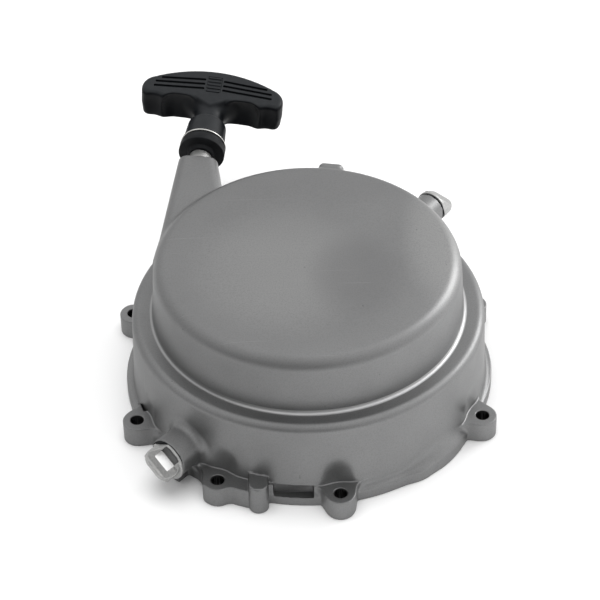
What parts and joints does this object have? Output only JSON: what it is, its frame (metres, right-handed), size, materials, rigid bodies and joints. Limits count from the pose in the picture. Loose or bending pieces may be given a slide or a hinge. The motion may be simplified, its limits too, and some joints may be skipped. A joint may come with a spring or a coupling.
{
  "type": "recoil starter",
  "caption": "Pull-rope recoil starter in a stepped round cast case with mounting lugs, a side rope neck and a T handle; coil spring returns the reel, pawls swing out to drive the engine.",
  "frame": {"origin": "centre of the mounting face, on the reel axis", "axes": "+Z along the reel axis away from the engine, +Y the side to which the rope handle pulls out"},
  "size_m": [0.2029, 0.2762, 0.0874],
  "materials": {
    "cast_aluminium": "bead-blasted satin",
    "machined_alloy": "turned",
    "black_plastic": "fine moulded grain",
    "black_rubber": "matt",
    "zinc_steel": "zinc plated",
    "spring_steel": "oiled blue-grey",
    "reel_nylon": "glass-filled nylon",
    "bush_bronze": "sintered bronze",
    "rope_fibre": "braided nylon",
    "pawl_steel": "hardened",
    "ring_steel": "bright"
  },
  "bodies": {
    "case": {"starter_case": "cast_aluminium", "neck_bush": "machined_alloy", "spring_anchor_pin": "zinc_steel", "recoil_spring": "spring_steel", "rope_neck_run": "rope_fibre", "thrust_washer": "zinc_steel", "friction_spring": "spring_steel", "retaining_washer": "zinc_steel", "centre_bolt": "zinc_steel", "plug_front": "machined_alloy", "plug_front_seal": "black_rubber", "plug_rear": "machined_alloy", "plug_rear_seal": "black_rubber"},
    "handle": {"handle_grip": "black_plastic", "handle_cap": "black_plastic", "handle_ring": "ring_steel", "handle_seal": "black_rubber", "rope_retainer": "zinc_steel", "rope_knot": "rope_fibre", "rope_pull": "rope_fibre"},
    "reel": {"rope_reel": "reel_nylon", "reel_bush": "bush_bronze", "rope_coil": "rope_fibre", "reel_knot": "rope_fibre", "pawl_pins": "zinc_steel", "pawl_springs": "spring_steel"},
    "drive_plate": {"drive_plate": "zinc_steel"},
    "pawl_a": {"drive_pawl_a": "pawl_steel"},
    "pawl_b": {"drive_pawl_b": "pawl_steel"}
  },
  "joints": [
    {"name": "reel_spin", "type": "hinge", "parent": "case", "child": "reel", "pos_m": [0, 0, 0.063], "axis": [0, 0, -1], "range_deg": [0, 864], "stiffness_Nm_per_rad": 0.13, "springref_deg": -286.48, "deforming": ["recoil_spring", "rope_coil"]},
    {"name": "handle_pull", "type": "slide", "parent": "case", "child": "handle", "axis": [0.1384, 0.9848, 0.1045], "range_m": [0, 0.8], "deforming": ["rope_pull"]},
    {"name": "drive_plate_turn", "type": "hinge", "parent": "reel", "child": "drive_plate", "pos_m": [0, 0, 0.0428], "axis": [0, 0, 1], "range_deg": [0, 30], "stiffness_Nm_per_rad": 0.02, "springref_deg": -28.65},
    {"name": "pawl_a_swing", "type": "hinge", "parent": "reel", "child": "pawl_a", "pos_m": [0.024, 0, 0.0494], "axis": [0, 0, 1], "range_deg": [0, 30]},
    {"name": "pawl_b_swing", "type": "hinge", "parent": "reel", "child": "pawl_b", "pos_m": [-0.024, 0, 0.0494], "axis": [0, 0, 1], "range_deg": [0, 30]}
  ],
  "couplings": [
    {"joint": "handle_pull", "follows": "reel_spin", "m_per_rad": 0.053},
    {"joint": "pawl_a_swing", "follows": "drive_plate_turn", "ratio": 1},
    {"joint": "pawl_b_swing", "follows": "drive_plate_turn", "ratio": 1}
  ]
}
